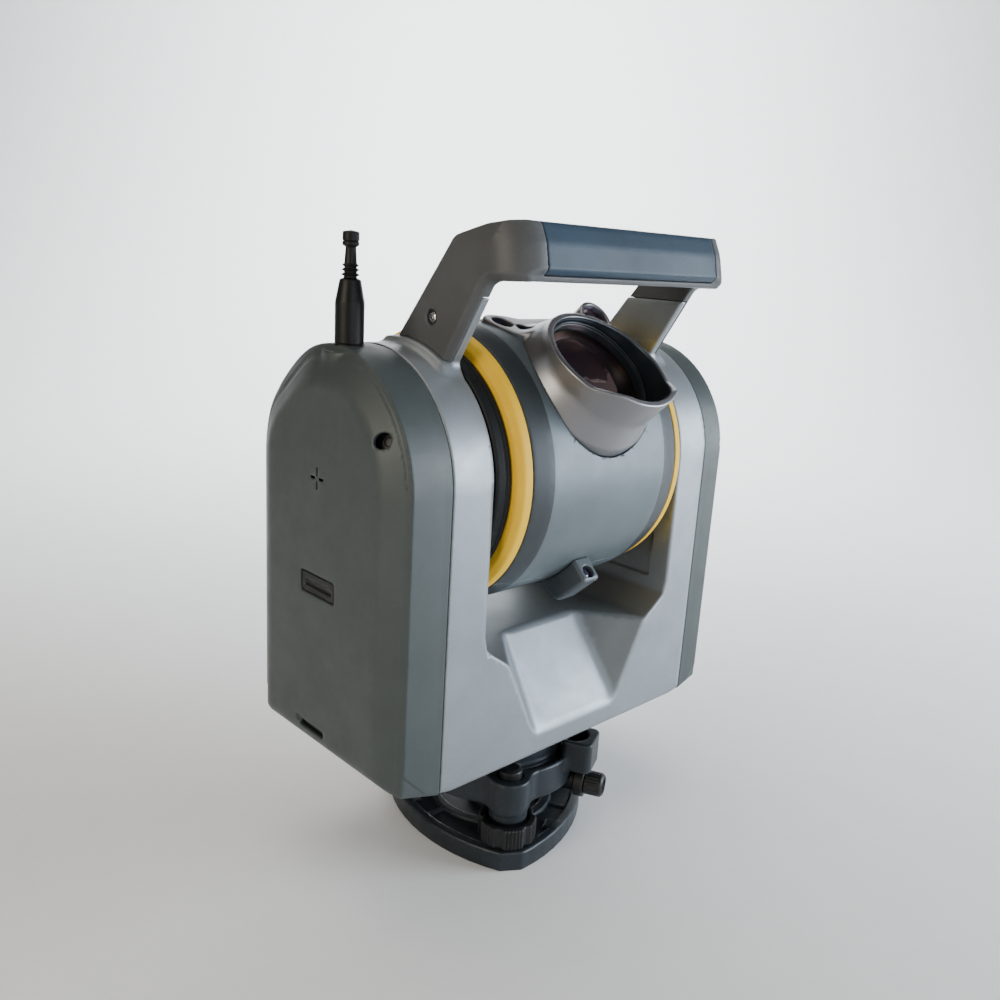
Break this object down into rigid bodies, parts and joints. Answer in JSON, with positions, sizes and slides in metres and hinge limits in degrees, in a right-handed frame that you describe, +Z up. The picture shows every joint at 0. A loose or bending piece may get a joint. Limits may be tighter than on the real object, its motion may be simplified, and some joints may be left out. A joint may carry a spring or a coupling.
{
  "type": "surveying total station",
  "caption": "Motorised surveying total station: U-shaped alidade with tilting telescope drum, carrying handle and antenna, on a tribrach with foot screws.",
  "frame": {"origin": "under the middle of the whole, on the underside of the base plate; the vertical axis stands 14.6 mm behind it", "axes": "+X along the trunnion axis to the instrument's right, -Y to the front where the telescope points, +Z up the vertical axis"},
  "size_m": [0.3102, 0.2076, 0.4178],
  "materials": {
    "base_casting": "satin dark grey enamel",
    "black_plastic": "matt black moulded",
    "steel": "ground",
    "brass": "turned",
    "silver_paint": "fine silver-grey paint on casting",
    "cover_grey": "soft-touch dark grey",
    "handle_grey": "satin dark grey",
    "handle_blue": "satin blue-grey",
    "drum_grey": "satin grey-blue",
    "yellow": "satin amber yellow",
    "satin_metal": "satin silver",
    "rubber": "matt",
    "lens_glass": "coated optical glass",
    "circuit_board": "green laminate"
  },
  "bodies": {
    "root": {"base_plate": "base_casting", "thread_bush": "brass", "spring_plate": "steel", "tribrach_body": "base_casting", "foot_cap_1": "black_plastic", "foot_cap_2": "black_plastic", "foot_cap_3": "black_plastic", "level_housing": "black_plastic", "level_vial": "lens_glass", "plummet_housing": "black_plastic", "instrument_base": "base_casting", "vertical_spindle": "steel", "azimuth_encoder_disc": "lens_glass"},
    "foot_screw_1": {"foot_screw_1": "black_plastic"},
    "foot_screw_2": {"foot_screw_2": "black_plastic"},
    "foot_screw_3": {"foot_screw_3": "black_plastic"},
    "lock_lever": {"lock_lever": "black_plastic"},
    "plummet_eyepiece": {"plummet_eyepiece": "black_plastic"},
    "alidade": {"alidade_frame": "silver_paint", "base_cover": "silver_paint", "azimuth_bearing_lower": "steel", "azimuth_bearing_upper": "steel", "azimuth_drive_coil": "brass", "left_cover": "cover_grey", "right_cover": "cover_grey", "slot_insert": "black_plastic", "port_plug": "black_plastic", "battery_pack": "black_plastic", "main_board": "circuit_board", "left_trunnion_bearing": "steel", "right_trunnion_bearing": "steel", "tilt_motor": "brass", "handle": "handle_grey", "handle_front_cover": "handle_blue", "left_handle_screw": "steel", "right_handle_screw": "steel", "antenna": "rubber", "antenna_connector": "brass"},
    "power_button": {"power_button": "black_plastic"},
    "battery_door": {"battery_door": "cover_grey"},
    "battery_latch": {"battery_latch": "black_plastic"},
    "telescope": {"front_shell": "drum_grey", "rear_shell": "drum_grey", "left_yellow_ring": "yellow", "right_yellow_ring": "yellow", "left_boot": "rubber", "right_boot": "rubber", "left_trunnion_shaft": "steel", "right_trunnion_shaft": "steel", "tilt_encoder_disc": "lens_glass", "telescope_chassis": "silver_paint", "lens_hood": "satin_metal", "lens_cell": "black_plastic", "objective_lens": "lens_glass", "camera_lens_large": "lens_glass", "camera_lens_small": "lens_glass", "tracker_window": "lens_glass", "sensor_pod": "drum_grey", "pod_window": "lens_glass"}
  },
  "joints": [
    {"name": "alidade_rotation", "type": "hinge", "parent": "root", "child": "alidade", "pos_m": [0, 0.0146, 0.088], "axis": [0, 0, 1], "continuous": true},
    {"name": "telescope_tilt", "type": "hinge", "parent": "alidade", "child": "telescope", "pos_m": [0, 0.0146, 0.27], "axis": [-1, 0, 0], "range_deg": [-87, 183]},
    {"name": "foot_screw_1_turn", "type": "hinge", "parent": "root", "child": "foot_screw_1", "pos_m": [-0.03322, -0.03656, 0.023], "axis": [0, 0, 1], "range_deg": [-720, 720]},
    {"name": "foot_screw_2_turn", "type": "hinge", "parent": "root", "child": "foot_screw_2", "pos_m": [0.06092, 0.01141, 0.023], "axis": [0, 0, 1], "range_deg": [-720, 720]},
    {"name": "foot_screw_3_turn", "type": "hinge", "parent": "root", "child": "foot_screw_3", "pos_m": [-0.02769, 0.06895, 0.023], "axis": [0, 0, 1], "range_deg": [-720, 720]},
    {"name": "lock_lever_turn", "type": "hinge", "parent": "root", "child": "lock_lever", "pos_m": [0.03268, 0.06492, 0.064], "axis": [0, 0, 1], "range_deg": [0, 180]},
    {"name": "plummet_focus", "type": "hinge", "parent": "root", "child": "plummet_eyepiece", "pos_m": [0.03496, -0.05401, 0.037], "axis": [0.454, -0.891, 0], "range_deg": [-150, 150]},
    {"name": "power_button_press", "type": "slide", "parent": "alidade", "child": "power_button", "axis": [1, 0, 0], "range_m": [0, 0.001], "stiffness_N_per_m": 900, "springref_m": -0.001},
    {"name": "battery_door_hinge", "type": "hinge", "parent": "alidade", "child": "battery_door", "pos_m": [0.1551, 0.0146, 0.13], "axis": [0, 1, 0], "range_deg": [0, 100]},
    {"name": "battery_latch_slide", "type": "slide", "parent": "battery_door", "child": "battery_latch", "axis": [0, 0, -1], "range_m": [0, 0.004], "stiffness_N_per_m": 300, "springref_m": -0.003}
  ]
}
